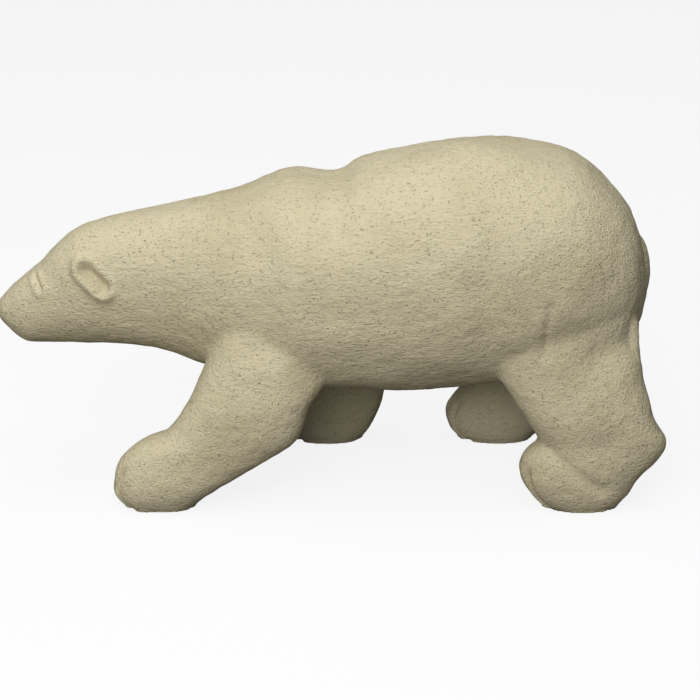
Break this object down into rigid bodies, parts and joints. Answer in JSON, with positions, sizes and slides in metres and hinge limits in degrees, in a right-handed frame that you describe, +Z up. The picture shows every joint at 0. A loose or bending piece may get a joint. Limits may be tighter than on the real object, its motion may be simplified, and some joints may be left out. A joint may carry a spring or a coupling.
{
  "type": "carved bear figurine",
  "caption": "Hand-carved pale wooden polar bear in a walking pose, a free-standing shelf ornament glued up from blocks on dowels",
  "frame": {"origin": "centre of the bottom of the bounding box, on the surface that the soles stand on", "axes": "+X to the rump, the nose towards -X; +Y to the bear's right side; +Z up"},
  "size_m": [0.4, 0.134, 0.21],
  "materials": {
    "carved_wood": "raw pale lime wood, rasped and sanded, matt, with small pits and tool marks",
    "dowel_wood": "plain turned beech dowel, raw"
  },
  "bodies": {
    "root": {"head_neck_block": "carved_wood", "trunk_block": "carved_wood", "rump_block": "carved_wood", "left_foreleg": "carved_wood", "right_foreleg": "carved_wood", "left_hind_leg": "carved_wood", "right_hind_leg": "carved_wood", "tail": "carved_wood", "neck_dowels": "dowel_wood", "rump_dowels": "dowel_wood", "left_foreleg_dowels": "dowel_wood", "right_foreleg_dowels": "dowel_wood", "left_hind_dowels": "dowel_wood", "right_hind_dowels": "dowel_wood", "tail_dowel": "dowel_wood"}
  },
  "joints": []
}
